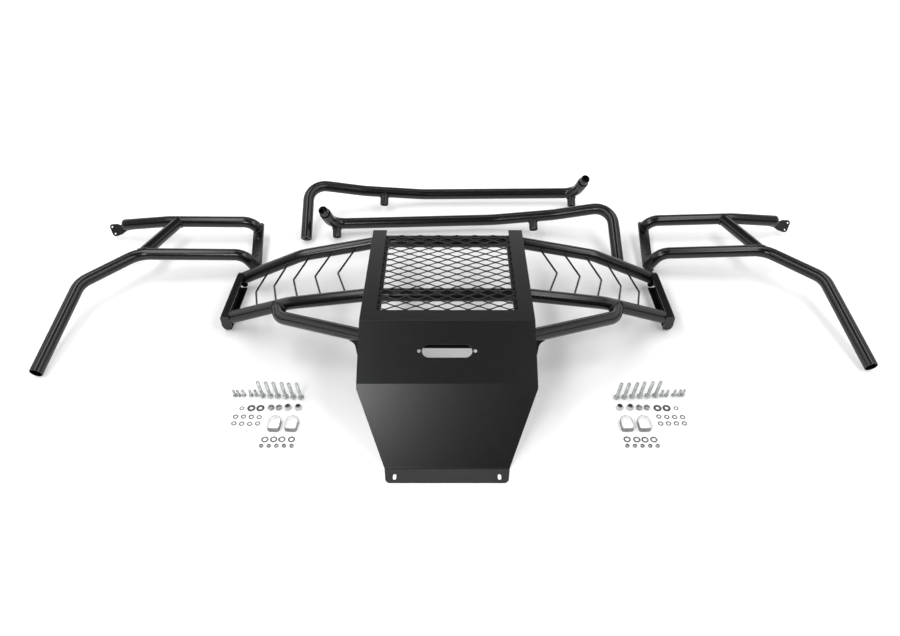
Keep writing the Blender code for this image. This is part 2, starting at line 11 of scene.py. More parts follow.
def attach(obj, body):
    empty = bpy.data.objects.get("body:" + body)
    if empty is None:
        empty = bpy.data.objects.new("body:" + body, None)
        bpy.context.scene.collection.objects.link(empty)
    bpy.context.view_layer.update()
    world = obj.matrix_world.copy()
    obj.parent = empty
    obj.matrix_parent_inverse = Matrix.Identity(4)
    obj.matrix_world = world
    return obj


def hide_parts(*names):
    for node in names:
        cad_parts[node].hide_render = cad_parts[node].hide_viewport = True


# Driving dimensions, metres, as in the CAD model
TUBE_RADIUS = 0.016
TUBE_WALL = 0.002
TUBE_SIDES = 40
SPIGOT_RADIUS = 0.0128
STUB_RADIUS = 0.0125
ROD_RADIUS = 0.0025
SHEET = 0.003
PLATE = 0.005
GAP = 0.0003
FINE_EDGE = 0.0004
SHEET_EDGE = 0.0005
PLATE_EDGE = 0.0008
CUT = 0.03

GUARD_AT = (-0.019, -0.2335, 0.0)
WING_AT = {-1: (-0.5675, 0.270, 0.0), 1: (0.55124, 0.276, math.radians(1.9))}
RAIL_AT = {"far": (-0.4325, 0.31335, 0.0), "near": (0.4595, 0.196, math.radians(3.2))}
HARDWARE_AT = {-1: (-0.3615, -0.361, 0.0), 1: (0.3775, -0.361, 0.0)}
WORDS = {-1: "left", 1: "right"}

PANEL_HALF = 0.197
PANEL_TOP = Vector((0.0, 0.398, 0.152))
PANEL_FOLD = Vector((0.0, 0.0, 0.193))
PANEL_KNEE = Vector((0.0, -0.132, 0.128))
PANEL_FOOT = Vector((0.0, -0.263, SHEET))
PANEL_LIP = Vector((0.0, -0.299, SHEET))
FOOT_HALF = 0.1345
LIP_HALF = 0.130
LIP_CORNER = 0.009
FOLD_RADIUS = 0.006
SHOULDER = 0.06
WINDOW_HALF = 0.161
WINDOW_FAR = 0.45
WINDOW_CORNER = 0.003
CROSSBAR = 0.039
FAIRLEAD_PITCH = 0.124
FAIRLEAD_HOLE = 0.0042
FAIRLEAD_DOWN = 0.49
FAIRLEAD_SLOT = (0.111, 0.031)
LIP_SLOT = (0.016, 0.0078)
LIP_SLOT_AT = (0.1116, -0.284)
# A black strip behind the rope guide's slot: a dark sheet put there as painted shade, so the top of
# the slot shows dark.
SLOT_SHADE_STRIP = (-0.060, 0.0125, 0.060, 0.032)
SLOT_SHADE_GAP = 0.015

MESH_HALF = 0.176
MESH_NEAR = 0.018
MESH_FAR = 0.384
MESH_ROWS = 13
DIAMOND = (0.048, 0.0267)
STRAND = (0.0029, 0.0019)
STRAND_TILT = math.radians(16)
BOND = 0.006
BORDER = 0.1525
BORDER_THICK = 0.0024
BORDER_DROP = 0.0040

UPPER_TUBE = [(0.170, 0.374, 0.1325), (0.388, 0.358, 0.098), (0.600, 0.3387, 0.013)]
MIDDLE_TUBE = [(0.190, 0.1276, 0.158), (0.385, 0.147, 0.115), (0.600, 0.194, 0.011)]
LOWER_TUBE = [(0.404, 0.103, 0.108), (0.184, -0.019, 0.162)]
LOWER_START = 0.418
BOW_RADIUS = 0.12
LOWER_RADIUS = 0.045
WEB_AT = (0.5705, 0.257)
WEB_TOE = math.radians(3)
CHANNEL = (0.020, 0.050)
CHANNEL_LENGTH = 0.164
CAPS = ((-1, "near", 0.0075), (1, "far", 0.0025))  # end, its name, the cap's thickness
CAP_RISE = 0.005
CAP_REACH = 0.003
CAP_RADII = (0.016, 0.010, 0.003, 0.005)
CAP_EDGE = 0.0012
GUSSET_CURVE = [(0.2180, 0.046, 0), (0.2045, 0.053, 0), (0.1975, 0.082, 0)]
GUSSET_BEND = 0.020
GUSSET_ROOT = (0.150, 0.046, 0.112)  # x, nearer the fold, further from it
MOUNT_HOLE = 0.0045
MOUNT_PITCH = 0.074

CHEVRONS = 5
CHEVRON_FIRST = 0.239
CHEVRON_PITCH = 0.064
CHEVRON_CLOSING = 0.0013
KNEE_FIRST = 0.038
KNEE_CLOSING = 0.0035

WING_TUBE_HEIGHT = 0.060
WING_FAR_TUBE = [(0.019, 0.061), (0.260, 0.064)]
WING_FAR_END = (0.388, 0.062, 0.050)
WING_NEAR_CORNER = (0.0125, -0.0935)
WING_KNEE = (0.292, -0.109, 0.075)
WING_ELBOW = (0.404, -0.240, 0.080)
WING_LEG_END = (0.436, -0.500, 0.0175)
WING_BRACE = (0.230, 0.284)
CLOSING = (0.0095, 0.0045)  # how far the closed end stands out, and the radius of its flat
WING_PLATE_AT = Vector((-0.005, -0.014, 0.0243))
WING_PLATE = (0.190, 0.036)
WING_PLATE_YAW = math.radians(6.6)
WING_PLATE_RISE = math.radians(7.3)
WING_LANDING = 0.078
LANDING_REACH = 0.010
WING_TILT = math.radians(60)
WING_BEND = 0.045
KNEE_BEND = 0.070
FAR_BEND = 0.25
TAB_TILT = math.radians(42)
TAB_THICK = 0.004
TAB_DROP = 0.010
TAB_OUTLINE = [  # outwards, downwards, the corner's radius
    (-0.018, -0.017, 0.003), (0.006, -0.017, 0.008), (0.018, -0.011, 0.012),
    (0.030, -0.016, 0.008), (0.058, -0.015, 0.008), (0.040, 0.023, 0.009),
    (0.016, 0.014, 0.012), (0.004, 0.004, 0.012), (-0.018, 0.000, 0.003)]
TAB_HOLE = 0.0029
TAB_HOLES_AT = ((0.047, -0.007), (0.0365, 0.013))

RAIL_PATH = [
    (0.0, 0.0, 0.0135), (0.0, 0.152, 0.103), (0.160, 0.178, 0.062),
    (0.335, 0.199, 0.036), (0.807, 0.204, 0.037), (0.8195, 0.162, 0.1035)]
RAIL_RADII = (0.055, 0.30, 0.25, 0.045)
RAIL_STUBS = (0.219, 0.795)
STUB_LENGTH = 0.041
STUB_FALL = math.radians(39)
SPIGOT = (0.024, 0.022)
PLUG = 0.012

# Weld beads
PLATE_BEAD = 0.0022
TUBE_BEAD = 0.0024
LOWER_BEAD = 0.0026
ROD_BEAD = 0.0014
RIPPLE = 0.0034

# Fasteners, x outwards from the inner end of the set
BOLT = (0.004, 0.0075, 0.0053, 0.045)  # shank, head, the head's height, length
HEX = 0.866  # a hexagon's half width over its corner radius
BOLTS = 6
BOLT_PITCH = 0.0182
BOLT_ROW = 0.0675
BOLT_RISE = 0.0011  # how much further away each bolt is than the next one in
SHORT_BOLT = (0.003, 0.0056, 0.004, 0.016)
SHORT_BOLTS_AT = (0.106, 0.118, 0.135, 0.147, 0.156)
SHORT_BOLT_ROW = 0.075
SPACER = (0.0088, 0.0058, 0.0042, 0.010)  # base, top, bore, height
SPACERS_AT = (0.002, 0.026)
MIDDLE_ROW = 0.036
LARGE_NUT = (0.013, 0.004, 0.0065)  # across its flats, bore, height
LARGE_NUTS_AT = (0.047, 0.065)
SMALL_NUT = (0.009, 0.0028, 0.0045)
SMALL_NUTS_AT = (0.001, 0.0178, 0.0346, 0.0514, 0.0682)
NUT_ROW = -0.074
DARK_WASHER = (0.0092, 0.0045, 0.0018)  # outer and inner radius, thickness
DARK_WASHERS_AT = (0.090, 0.111)
THIN_WASHER = (0.0055, 0.0034, 0.0012)
THIN_WASHER_AT = 0.133
SMALL_RING = (0.0060, 0.0036, 0.0014)
SMALL_RINGS_AT = (0.088, 0.106, 0.124, 0.142)
SMALL_RING_ROWS = (0.010, -0.010)
LARGE_RING = (0.0080, 0.0047, 0.0018)
LARGE_RINGS_AT = (0.004, 0.0256, 0.0437, 0.0634)
LARGE_RING_ROW = -0.056
RING_GAP = 0.08
RING_LIFT = 0.0005
BAND = (0.0275, 0.0385, 0.0015, 0.012)  # width, depth, wall, height
BANDS_AT = (0.009, 0.048)
BAND_ROW = -0.014
BAND_TURN = 0.06

# Studio
CAMERA_AT = (-0.0127, -1.481, 1.343)
CAMERA_TILT = math.radians(47.5)
CAMERA_LENS = 30.4
DIM_WORLD = 0.08
# The floor's painted glow: an emission with no lamp behind it. It is nil by the kit and rises with
# distance, so the floor further off glows white while the floor by the kit stays dim enough for the
# lamps' shade to show.
GLOW_SQUEEZE = (0.70, 1.45, 1.0)
NEAR_GLOW = (0.30, 1.1, 0.0, 0.55)  # from and to these distances, from and to these strengths
FAR_GLOW = (1.3, 2.8, 0.0, 0.45)
SOFTBOXES = [  # name, place, aim, size, power
    ("high_left", (-1.3, 0.1, 2.5), (-0.1, 0.0, 0.0), (2.8, 0.8), 33),
    ("high_right", (1.5, 0.1, 2.5), (0.1, 0.0, 0.0), (2.8, 0.8), 28),
    ("side_left", (-2.7, 0.4, 1.4), (-0.2, 0.2, 0.0), (4.6, 1.4), 26),
    ("side_right", (2.7, 0.4, 1.4), (0.2, 0.2, 0.0), (4.6, 1.4), 24),
    ("high_back", (0.0, 1.3, 2.5), (0.0, -0.5, 0.0), (1.0, 0.35), 5),
    ("sweep", (0.0, 3.3, 0.80), (0.0, 0.0, 0.3), (6.0, 1.3), 30),
    ("front_left", (-0.66, -1.62, 1.50), (-0.1, -0.3, 0.1), (0.5, 0.5), 14),
    ("front_right", (1.3, -1.30, 1.75), (0.3, 0.0, 0.1), (0.6, 0.4), 7)]

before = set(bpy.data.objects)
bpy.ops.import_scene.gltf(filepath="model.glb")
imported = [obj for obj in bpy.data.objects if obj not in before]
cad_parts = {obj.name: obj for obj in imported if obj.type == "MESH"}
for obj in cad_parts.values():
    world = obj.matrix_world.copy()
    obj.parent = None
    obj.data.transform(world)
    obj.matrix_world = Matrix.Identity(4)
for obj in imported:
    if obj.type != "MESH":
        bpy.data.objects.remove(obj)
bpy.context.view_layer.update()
random.seed(4)


# Materials


def new_material(name):
    made = bpy.data.materials.new(name)
    made.use_nodes = True
    nodes = made.node_tree.nodes
    links = made.node_tree.links
    return made, nodes, links, nodes["Principled BSDF"]


def noise(nodes, links, coords, scale, detail=3.0, roughness=0.55):
    made = nodes.new("ShaderNodeTexNoise")
    made.inputs["Scale"].default_value = scale
    made.inputs["Detail"].default_value = detail
    made.inputs["Roughness"].default_value = roughness
    links.new(coords.outputs["Object"], made.inputs["Vector"])
    return made


def spread(nodes, links, source, low, high, out_low, out_high):
    """The source's values from low to high, taken to the range from out_low to out_high."""
    made = nodes.new("ShaderNodeMapRange")
    made.inputs["From Min"].default_value = low
    made.inputs["From Max"].default_value = high
    made.inputs["To Min"].default_value = out_low
    made.inputs["To Max"].default_value = out_high
    links.new(source, made.inputs["Value"])
    return made.outputs["Result"]


def ramp(nodes, links, source, stops):
    made = nodes.new("ShaderNodeValToRGB")
    band = made.color_ramp
    while len(band.elements) < len(stops):
        band.elements.new(0.5)
    for element, (place, colour) in zip(band.elements, stops):
        element.position = place
        element.color = (*colour, 1.0)
    links.new(source, made.inputs["Fac"])
    return made.outputs["Color"]


def powder_coat(name, shade, roughness, grain=0.22):
    """Black powder coat: a fine orange peel, slow changes of tone, and a few duller patches."""
    made, nodes, links, shader = new_material(name)
    coords = nodes.new("ShaderNodeTexCoord")
    slow = noise(nodes, links, coords, 9.0)
    fine = noise(nodes, links, coords, 620.0, detail=2.0)
    wide = noise(nodes, links, coords, 60.0, detail=4.0)
    tones = [(0.30, [c * 0.90 for c in shade]), (0.70, [c * 1.12 for c in shade])]
    links.new(ramp(nodes, links, slow.outputs["Fac"], tones), shader.inputs["Base Color"])
    dull = spread(nodes, links, wide.outputs["Fac"], 0.3, 0.7, roughness - 0.012, roughness + 0.018)
    links.new(dull, shader.inputs["Roughness"])
    peel = nodes.new("ShaderNodeBump")
    peel.inputs["Strength"].default_value = grain
    peel.inputs["Distance"].default_value = 0.0004
    links.new(fine.outputs["Fac"], peel.inputs["Height"])
    links.new(peel.outputs["Normal"], shader.inputs["Normal"])
    shader.inputs["Specular IOR Level"].default_value = 0.5
    return made


def plated(name, light, dark, roughness, metallic=1.0):
    """Zinc plate: a cool metal with cloudy tone and fine brushing."""
    made, nodes, links, shader = new_material(name)
    coords = nodes.new("ShaderNodeTexCoord")
    cloud = noise(nodes, links, coords, 120.0, detail=4.0)
    fine = noise(nodes, links, coords, 1400.0, detail=2.0)
    tones = ramp(nodes, links, cloud.outputs["Fac"], [(0.30, dark), (0.68, light)])
    links.new(tones, shader.inputs["Base Color"])
    rough = spread(nodes, links, fine.outputs["Fac"], 0.3, 0.7, roughness - 0.06, roughness + 0.08)
    links.new(rough, shader.inputs["Roughness"])
    scratch = nodes.new("ShaderNodeBump")
    scratch.inputs["Strength"].default_value = 0.12
    scratch.inputs["Distance"].default_value = 0.0002
    links.new(fine.outputs["Fac"], scratch.inputs["Height"])
    links.new(scratch.outputs["Normal"], shader.inputs["Normal"])
    shader.inputs["Metallic"].default_value = metallic
    return made


BLACK = powder_coat("black_powder_coat_look", (0.0030, 0.0032, 0.0033), 0.24, grain=0.12)
PANEL_BLACK = powder_coat("black_panel_look", (0.0035, 0.0038, 0.0038), 0.33, grain=0.08)
MESH_BLACK = powder_coat("black_mesh_look", (0.004, 0.004, 0.004), 0.45)
WELD_BLACK = powder_coat("black_weld_look", (0.005, 0.005, 0.005), 0.30, grain=0.3)
ZINC = plated("zinc_plate_look", (0.60, 0.62, 0.61), (0.34, 0.36, 0.355), 0.36)
WASHER_ZINC = plated("washer_look", (0.24, 0.25, 0.25), (0.14, 0.145, 0.145), 0.36)
NUT_ZINC = plated("nut_look", (0.42, 0.43, 0.43), (0.20, 0.21, 0.21), 0.30)
# The tube bands are one zinc strip. Their inner walls carry painted light, near white, and their
# outer walls carry painted shade, dark.
BAND_INSIDE_PAINTED_LIGHT = plated("band_inside_painted_light_look", (0.93, 0.93, 0.92), (0.84, 0.84, 0.83), 0.40, 0.3)
BAND_OUTSIDE_PAINTED_SHADE = plated("band_outside_painted_shade_look", (0.30, 0.30, 0.30), (0.20, 0.20, 0.20), 0.36)
DARK_ZINC = plated("dark_washer_look", (0.13, 0.135, 0.14), (0.07, 0.072, 0.075), 0.42)
SPACER_GREY = plated("grey_spacer_look", (0.78, 0.78, 0.78), (0.66, 0.66, 0.67), 0.48, 0.4)


# Shapes


def placed(at):
    x, y, turn = at
    return Matrix.Translation((x, y, 0.0)) @ Matrix.Rotation(turn, 4, "Z")


def flipped(point, side):
    return Vector((side * point[0], point[1], point[2]))


def rounded(points, radius, closed=False, step=math.radians(5)):
    """The points with an arc of the radius in place of each corner; a 2D outline is closed."""
    points = [Vector(p) for p in points]
    count = len(points)
    radii = list(radius) if isinstance(radius, (tuple, list)) else [radius] * count
    if not closed and len(radii) == count - 2:
        radii = [0.0] + radii + [0.0]
    path = []
    for i, corner in enumerate(points):
        at_end = not closed and i in (0, count - 1)
        before = (points[i - 1] - corner).normalized()
        after = (points[(i + 1) % count] - corner).normalized()
        turn = math.pi - before.angle(after)
        if at_end or radii[i] == 0.0 or turn < 0.01:
            path.append(corner)
            continue
        reach = radii[i] * math.tan(turn / 2)
        middle = (before + after).normalized()
        centre = corner + middle * radii[i] / math.cos(turn / 2)
        start = corner + before * reach - centre
        end = corner + after * reach - centre
        steps = max(3, math.ceil(turn / step))
        for k in range(steps + 1):
            a = turn * k / steps
            arm = (start * math.sin(turn - a) + end * math.sin(a)) / math.sin(turn)
            path.append(centre + arm)
    return path


def rectangle(left, near, right, far):
    return [(left, near, 0.0), (right, near, 0.0), (right, far, 0.0), (left, far, 0.0)]


def circle(x, y, radius, steps=32):
    turns = [math.tau * k / steps for k in range(steps)]
    return [(x + radius * math.cos(a), y + radius * math.sin(a)) for a in turns]


def stadium(x, y, length, width, steps=14):
    radius = width / 2
    reach = length / 2 - radius
    points = []
    for end in (1, -1):
        for k in range(steps + 1):
            a = math.pi * (k / steps - 0.5)
            along = reach + radius * math.cos(a)
            points.append((x + end * along, y + end * radius * math.sin(a)))
    return points


def stretch_at(path, x):
    """The two points of a tube's centre line on each side of x."""
    return next((a, b) for a, b in zip(path, path[1:]) if min(a.x, b.x) <= x <= max(a.x, b.x))


def axis_at(path, x):
    a, b = stretch_at(path, x)
    return a.lerp(b, (x - a.x) / (b.x - a.x))


def direction_at(path, x):
    a, b = stretch_at(path, x)
    return (b - a).normalized()


def linked(name, data):
    obj = bpy.data.objects.new(name, data)
    bpy.context.scene.collection.objects.link(obj)
    return obj


def meshed(name, shape):
    """The object of a bmesh, which is freed."""
    mesh = bpy.data.meshes.new(name)
    shape.to_mesh(mesh)
    shape.free()
    return linked(name, mesh)


def piece(name, shape, at, body, look, nodes=(), sharp=38):
    """A finished mesh object in its place, riding on its body."""
    bmesh.ops.recalc_face_normals(shape, faces=shape.faces)
    return dress(meshed(name, shape), at, body, look, nodes, sharp)


def dress(obj, at, body, look, nodes=(), sharp=38):
    obj.matrix_world = placed(at) @ obj.matrix_world
    obj.data.materials.clear()
    obj.data.materials.append(look)
    if not obj.modifiers:
        obj.data.shade_smooth()
        obj.data.set_sharp_from_angle(angle=math.radians(sharp))
    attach(obj, body)
    if nodes:
        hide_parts(*nodes)
    return obj


def frames(path, closed=False):
    """A pair of directions across the path at each of its points."""
    count = len(path)
    made = []
    for i in range(count):
        if closed:
            along = path[(i + 1) % count] - path[i - 1]
        else:
            along = path[min(i + 1, count - 1)] - path[max(i - 1, 0)]
        along = along.normalized()
        if made:
            side = made[-1][1] - along * made[-1][1].dot(along)
        else:
            side = along.cross(Vector((0, 0, 1)) if abs(along.z) < 0.9 else Vector((1, 0, 0)))
        side.normalize()
        made.append((along, side, along.cross(side)))
    return made


def ring(shape, centre, side, other, radius, sides):
    turns = [math.tau * k / sides for k in range(sides)]
    return [
        shape.verts.new(centre + side * (radius * math.cos(a)) + other * (radius * math.sin(a)))
        for a in turns
    ]


def bridge(shape, a, b):
    count = len(a)
    for k in range(count):
        shape.faces.new((a[k], a[(k + 1) % count], b[(k + 1) % count], b[k]))


def skin(shape, rings):
    """Joins the rings one to the next, and closes both ends."""
    for a, b in zip(rings, rings[1:]):
        bridge(shape, a, b)
    shape.faces.new(rings[0])
    shape.faces.new(list(reversed(rings[-1])))


def tube_into(
        shape, path, radius=TUBE_RADIUS, wall=TUBE_WALL, ends=("shut", "shut"), sides=TUBE_SIDES,
        depth=0.07):
    """A tube along the path. An open end shows its wall and its bore; a shut one is capped."""
    across = frames(path)
    stations = [(p, s, o, radius) for p, (_, s, o) in zip(path, across)]
    edge = 0.0007

    def mouth(end, out, side, other, kind):
        inner = radius - wall
        if kind == "shut":
            return []
        steps = [
            (-edge, radius), (-edge * 0.3, radius - edge * 0.3), (0.0, radius - edge),
            (0.0, inner + edge), (-edge, inner), (-depth, inner)]
        return [(end + out * along, side, other, r) for along, r in steps]

    first = across[0]
    last = across[-1]
    head = mouth(path[0], -first[0], first[1], first[2], ends[0])
    tail = mouth(path[-1], last[0], last[1], last[2], ends[1])
    if head:
        stations = list(reversed(head)) + stations[1:]
    if tail:
        stations = stations[:-1] + tail
    rings = [ring(shape, *station, sides) for station in stations]
    skin(shape, rings)


def tube(name, path, at, body, nodes=(), **how):
    shape = bmesh.new()
    tube_into(shape, path, **how)
    return piece(name, shape, at, body, BLACK, nodes)


def bead_into(shape, loop, radius, sides=8):
    """A weld bead along a closed loop: one ripple for each pool of metal."""
    total = sum((a - b).length for a, b in zip(loop, loop[1:] + loop[:1]))
    count = max(24, int(total / 0.0011))
    lengths = [0.0]
    for a, b in zip(loop, loop[1:] + loop[:1]):
        lengths.append(lengths[-1] + (a - b).length)
    points = []
    spot = 0
    for k in range(count):
        want = total * k / count
        while lengths[spot + 1] < want:
            spot += 1
        part = (want - lengths[spot]) / max(lengths[spot + 1] - lengths[spot], 1e-9)
        points.append(loop[spot].lerp(loop[(spot + 1) % len(loop)], part))
    ripples = max(8, round(total / RIPPLE))
    rings = []
    for k, (point, (_, side, other)) in enumerate(zip(points, frames(points, closed=True))):
        swell = 1.0 + 0.16 * math.sin(math.tau * ripples * k / count) + random.uniform(-0.04, 0.04)
        rings.append(ring(shape, point, side, other, radius * swell, sides))
    for a, b in zip(rings, rings[1:]):
        bridge(shape, a, b)
    shift = min(range(sides), key=lambda k: (rings[-1][0].co - rings[0][k].co).length)
    bridge(shape, rings[-1], rings[0][shift:] + rings[0][:shift])


def saddle(centre, out, radius, along, count=96):
    """Where a tube that leaves a main tube's centre line meets the main tube's wall."""
    out = out.normalized()
    along = along.normalized()
    side = out.cross(along).normalized()
    other = out.cross(side)
    flat_out = out - along * out.dot(along)
    a = flat_out.length_squared
    loop = []
    for k in range(count):
        turn = math.tau * k / count
        start = centre + side * (radius * math.cos(turn)) + other * (radius * math.sin(turn))
        arm = start - centre
        arm -= along * arm.dot(along)
        b = 2 * arm.dot(flat_out)
        c = arm.length_squared - TUBE_RADIUS * TUBE_RADIUS
        reach = (-b + math.sqrt(max(b * b - 4 * a * c, 0.0))) / (2 * a)
        loop.append(start + out * reach)
    return loop


def on_plane(centre, out, spot, normal, count=96):
    """Where a main tube meets a flat plate."""
    out = out.normalized()
    side = out.cross(Vector((0, 1, 0)) if abs(out.y) < 0.8 else Vector((1, 0, 0))).normalized()
    other = out.cross(side)
    loop = []
    for k in range(count):
        turn = math.tau * k / count
        start = centre + side * (TUBE_RADIUS * math.cos(turn))
        start += other * (TUBE_RADIUS * math.sin(turn))
        loop.append(start + out * ((spot - start).dot(normal) / out.dot(normal)))
    return loop


def flat_mesh(name, loops, thickness, origin, along, across, edge):
    """A flat plate from an outline and its holes, its edges softened."""
    curve = bpy.data.curves.new(name, "CURVE")
    curve.dimensions = "2D"
    curve.fill_mode = "BOTH"
    curve.extrude = thickness / 2
    for loop in loops:
        spline = curve.splines.new("POLY")
        spline.points.add(len(loop) - 1)
        for point, place in zip(spline.points, loop):
            point.co = (place[0], place[1], 0.0, 1.0)
        spline.use_cyclic_u = True
    source = linked(name + "_outline", curve)
    graph = bpy.context.evaluated_depsgraph_get()
    mesh = bpy.data.meshes.new_from_object(source.evaluated_get(graph))
    bpy.data.objects.remove(source, do_unlink=True)
    shape = bmesh.new()
    shape.from_mesh(mesh)
    bmesh.ops.remove_doubles(shape, verts=shape.verts, dist=1e-6)
    bmesh.ops.dissolve_limit(shape, angle_limit=0.01, verts=shape.verts, edges=shape.edges)
    bmesh.ops.recalc_face_normals(shape, faces=shape.faces)
    shape.to_mesh(mesh)
    shape.free()
    mesh.name = name
    obj = linked(name, mesh)
    along = Vector(along).normalized()
    normal = along.cross(Vector(across).normalized())
    turn = Matrix((along, normal.cross(along), normal)).transposed()
    obj.matrix_world = Matrix.Translation(origin) @ turn.to_4x4()
    if edge:
        soften(obj, edge)
    return obj


def soften(obj, width):
    """Rounds the edges a little and keeps the flats flat in the shading."""
    obj.data.shade_smooth()
    bevel = obj.modifiers.new("Edges", "BEVEL")
    bevel.width = width
    bevel.segments = 2
    bevel.limit_method = "ANGLE"
    bevel.angle_limit = math.radians(40)
    obj.modifiers.new("Shading", "WEIGHTED_NORMAL")


def settle(obj):
    """The modifiers become part of the mesh."""
    graph = bpy.context.evaluated_depsgraph_get()
    mesh = bpy.data.meshes.new_from_object(obj.evaluated_get(graph))
    old = obj.data
    obj.modifiers.clear()
    obj.data = mesh
    mesh.name = obj.name
    bpy.data.meshes.remove(old)
    return obj


def drill(obj, tools):
    """Cuts the tools out of a mesh, then drops them."""
    for tool in tools:
        hole = obj.modifiers.new("Hole", "BOOLEAN")
        hole.operation = "DIFFERENCE"
        hole.object = tool
        obj.modifiers.move(len(obj.modifiers) - 1, 0)
    bpy.context.view_layer.update()
    settle(obj)
    for tool in tools:
        bpy.data.objects.remove(tool, do_unlink=True)
    return obj


def block(loop, thickness, origin, along, across):
    """A cutter for drill."""
    return flat_mesh("cutter", [loop], thickness, origin, along, across, 0.0)


# Front guard


def half_width(y):
    shoulder = PANEL_KNEE.lerp(PANEL_FOOT, SHOULDER).y
    if y >= shoulder:
        return PANEL_HALF
    if y >= PANEL_FOOT.y:
        part = (shoulder - y) / (shoulder - PANEL_FOOT.y)
        return PANEL_HALF + (FOOT_HALF - PANEL_HALF) * part
    part = (PANEL_FOOT.y - y) / (PANEL_FOOT.y - PANEL_LIP.y)
    half = FOOT_HALF + (LIP_HALF - FOOT_HALF) * part
    past = max(PANEL_LIP.y + LIP_CORNER - y, 0.0)
    return half - LIP_CORNER + math.sqrt(max(LIP_CORNER**2 - past**2, 0.0))


def panel(at, body):
    """The folded sheet with its bends, the window, the rope guide's slot and the lip's slots."""
    shoulder = PANEL_KNEE.lerp(PANEL_FOOT, SHOULDER)
    start_of_corner = PANEL_LIP + Vector((0.0, LIP_CORNER, 0.0))
    bends = [PANEL_TOP, PANEL_FOLD, PANEL_KNEE, PANEL_FOOT, PANEL_LIP]
    profile = rounded(bends, (FOLD_RADIUS,) * 3, step=math.radians(6))[:-1]
    spot = next(i for i, p in enumerate(profile) if p.y < shoulder.y)
    profile.insert(spot, shoulder)
    for k in range(9):
        past = LIP_CORNER * math.sin(math.pi / 2 * k / 8)
        profile.append(start_of_corner + Vector((0.0, -past, 0.0)))
    shape = bmesh.new()
    rows = []
    for p in profile:
        half = Vector((half_width(p.y), 0.0, 0.0))
        rows.append([shape.verts.new(p + half * x) for x in (-1, -0.5, 0, 0.5, 1)])
    for a, b in zip(rows, rows[1:]):
        for k in range(4):
            shape.faces.new((a[k], b[k], b[k + 1], a[k + 1]))
    for face in shape.faces:
        face.normal_update()
    if sum(face.normal.z for face in shape.faces) < 0:
        bmesh.ops.reverse_faces(shape, faces=shape.faces)
    obj = meshed("panel_sheet", shape)
    shell = obj.modifiers.new("Sheet", "SOLIDIFY")
    shell.thickness = SHEET
    shell.offset = -1.0
    shell.use_even_offset = True
    settle(obj)

    down = PANEL_KNEE - PANEL_FOLD
    middle = PANEL_FOLD.lerp(PANEL_KNEE, FAIRLEAD_DOWN)
    half_pitch = FAIRLEAD_PITCH / 2
    tools = [block(stadium(0.0, 0.0, *FAIRLEAD_SLOT), CUT, middle, (1, 0, 0), down)]
    for side in (-1, 1):
        hole = circle(side * half_pitch, 0.0, FAIRLEAD_HOLE)
        tools.append(block(hole, CUT, middle, (1, 0, 0), down))
        place = Vector((side * LIP_SLOT_AT[0], LIP_SLOT_AT[1], 0.0))
        tools.append(block(stadium(0.0, 0.0, *LIP_SLOT), CUT, place, (0, 1, 0), (1, 0, 0)))
    corners = rectangle(-WINDOW_HALF, CROSSBAR, WINDOW_HALF, WINDOW_FAR)
    window = rounded(corners, (WINDOW_CORNER, WINDOW_CORNER, 0, 0), closed=True)
    tools.append(block(window, 0.2, (0, 0, 0.17), (1, 0, 0), (0, 1, 0)))
    drill(obj, tools)
    soften(obj, SHEET_EDGE)
    dress(obj, at, body, PANEL_BLACK, ("front_panel",))

    up = -down.normalized()
    normal = Vector((1, 0, 0)).cross(down.normalized())
    # Painted shade: a black strip set behind the rope guide's slot, seen dark through the top of the
    # slot.
    behind = middle + normal * (SHEET + SLOT_SHADE_GAP)
    strip = rectangle(*SLOT_SHADE_STRIP)
    strip = flat_mesh("fairlead_slot_shade_strip", [strip], 0.004, behind, (1, 0, 0), up, SHEET_EDGE)
    dress(strip, at, body, PANEL_BLACK)


